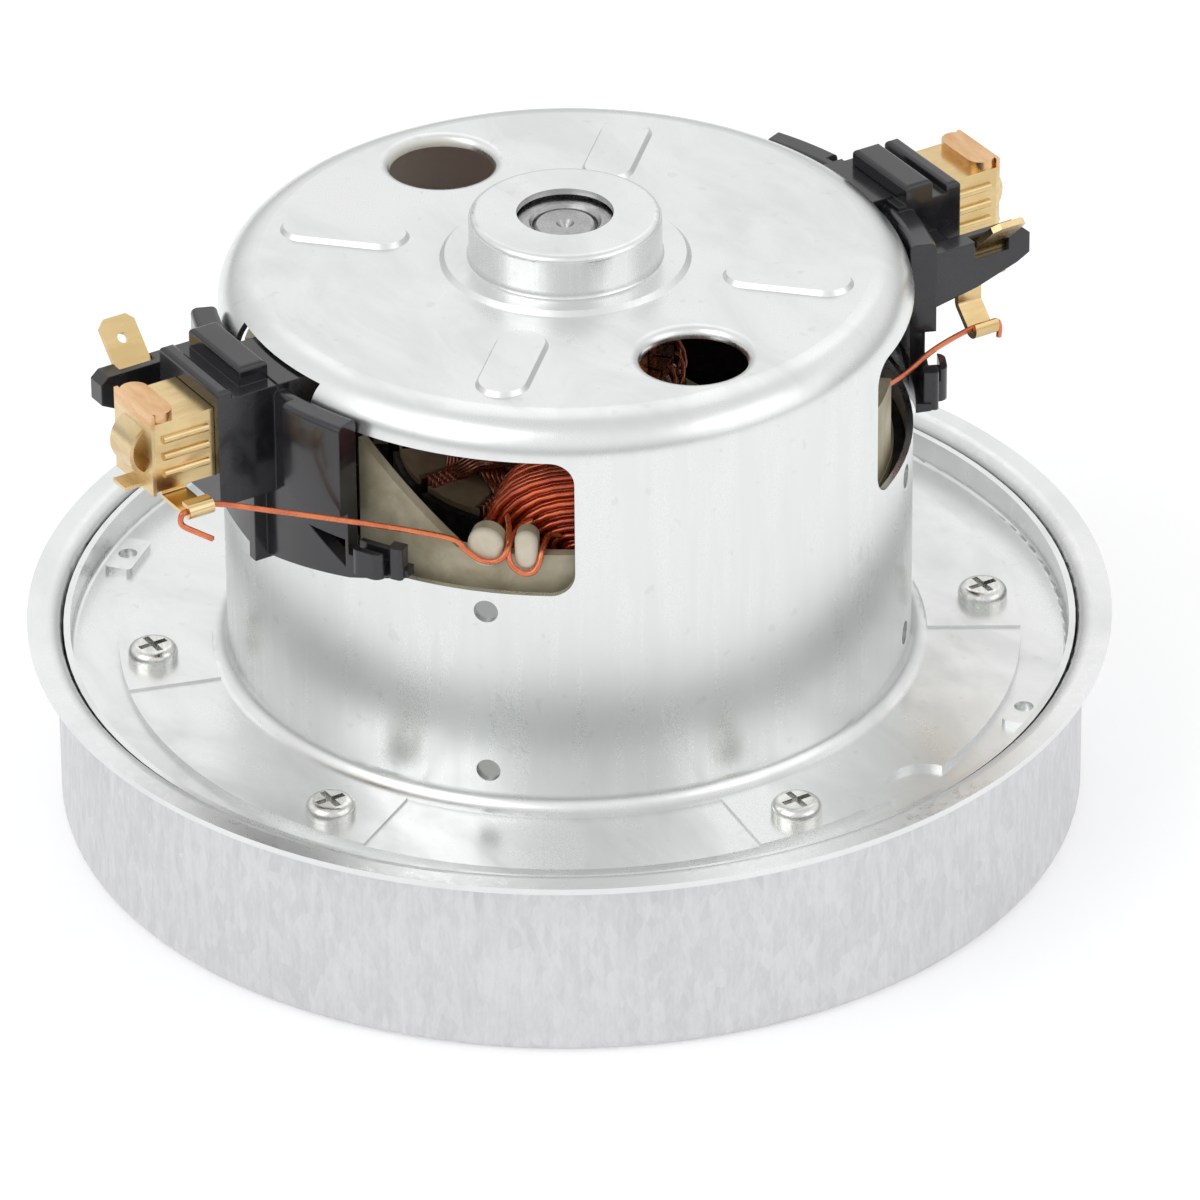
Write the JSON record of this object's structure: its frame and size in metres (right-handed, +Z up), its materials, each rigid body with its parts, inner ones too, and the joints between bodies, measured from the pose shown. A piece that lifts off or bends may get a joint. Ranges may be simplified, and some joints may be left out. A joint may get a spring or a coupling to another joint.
{
  "type": "vacuum motor unit",
  "caption": "Series-wound vacuum cleaner motor in a vented drawn can, brush holders on both sides, single-stage fan in a lipped drum below.",
  "frame": {"origin": "on the shaft axis at the underside of the fan drum", "axes": "+Z up the shaft towards the bearing boss, +X along the carbon brushes, +Y across them"},
  "size_m": [0.135, 0.135, 0.0804],
  "materials": {
    "zinc_sheet": "bright zinc-plated sheet, satin",
    "galvanised_sheet": "spangled galvanised sheet, pale blue-grey with fine upright streaks",
    "zinc_screws": "zinc-plated screws",
    "lamination_steel": "stacked laminations, dull grey",
    "ground_steel": "ground bearing steel",
    "spring_steel": "spring steel",
    "fan_aluminium": "pressed aluminium",
    "copper_enamel": "enamelled copper wire, orange-red",
    "copper_bar": "turned bare copper",
    "brass_strip": "bright brass strip",
    "black_plastic": "glossy black moulding",
    "cream_insulator": "cream moulding",
    "grey_plastic": "dark grey moulding",
    "brown_moulding": "brown phenolic moulding",
    "fibre_board": "pressed fibre",
    "carbon": "pressed carbon"
  },
  "bodies": {
    "motor_body": {"motor_housing": "zinc_sheet", "end_bracket": "zinc_sheet", "fan_cover": "galvanised_sheet", "diffuser": "grey_plastic", "flange_screws": "zinc_screws", "stator_core": "lamination_steel", "field_coil_front": "copper_enamel", "field_coil_rear": "copper_enamel", "field_winding_front": "copper_enamel", "field_winding_rear": "copper_enamel", "coil_insulator_upper": "cream_insulator", "coil_insulator_lower": "cream_insulator", "brush_holder_left": "black_plastic", "brush_holder_right": "black_plastic", "brush_tube_left": "brass_strip", "brush_tube_right": "brass_strip", "brush_cap_left": "brass_strip", "brush_cap_right": "brass_strip", "line_terminal_left": "brass_strip", "line_terminal_right": "brass_strip", "lead_front_left": "copper_enamel", "lead_front_right": "copper_enamel", "lead_rear_left": "copper_enamel", "lead_rear_right": "copper_enamel", "brush_spring_left": "spring_steel", "brush_spring_right": "spring_steel", "top_bearing_outer_ring": "ground_steel", "lower_bearing_outer_ring": "ground_steel", "top_bearing_shields": "spring_steel", "lower_bearing_shields": "spring_steel", "top_bearing_washer": "spring_steel"},
    "rotor": {"rotor_shaft": "ground_steel", "armature_core": "lamination_steel", "armature_winding": "copper_enamel", "armature_end_insulators": "fibre_board", "commutator_bars": "copper_bar", "commutator_hub": "brown_moulding", "top_bearing_inner_ring": "ground_steel", "lower_bearing_inner_ring": "ground_steel", "impeller_back_plate": "fan_aluminium", "impeller_front_plate": "fan_aluminium", "impeller_blades": "fan_aluminium", "impeller_clamp_washers": "zinc_screws", "shaft_spacer": "ground_steel", "impeller_nut": "zinc_screws"},
    "top_ball_cage": {"top_bearing_ball_cage": "ground_steel"},
    "lower_ball_cage": {"lower_bearing_ball_cage": "ground_steel"},
    "brush_left": {"carbon_brush_left": "carbon"},
    "brush_right": {"carbon_brush_right": "carbon"}
  },
  "joints": [
    {"name": "rotor_spin", "type": "hinge", "parent": "motor_body", "child": "rotor", "pos_m": [0, 0, 0.04], "axis": [0, 0, 1], "continuous": true},
    {"name": "top_cage_spin", "type": "hinge", "parent": "motor_body", "child": "top_ball_cage", "pos_m": [0, 0, 0.0756], "axis": [0, 0, 1], "continuous": true},
    {"name": "lower_cage_spin", "type": "hinge", "parent": "motor_body", "child": "lower_ball_cage", "pos_m": [0, 0, 0.0177], "axis": [0, 0, 1], "continuous": true},
    {"name": "brush_slide_right", "type": "slide", "parent": "motor_body", "child": "brush_right", "axis": [1, 0, 0], "range_m": [0, 0.012], "stiffness_N_per_m": 100, "springref_m": -0.004, "deforming": ["brush_spring_right"]},
    {"name": "brush_slide_left", "type": "slide", "parent": "motor_body", "child": "brush_left", "axis": [-1, 0, 0], "range_m": [0, 0.012], "stiffness_N_per_m": 100, "springref_m": -0.004, "deforming": ["brush_spring_left"]}
  ],
  "couplings": [
    {"joint": "top_cage_spin", "follows": "rotor_spin", "ratio": 0.36773},
    {"joint": "lower_cage_spin", "follows": "rotor_spin", "ratio": 0.36773}
  ]
}
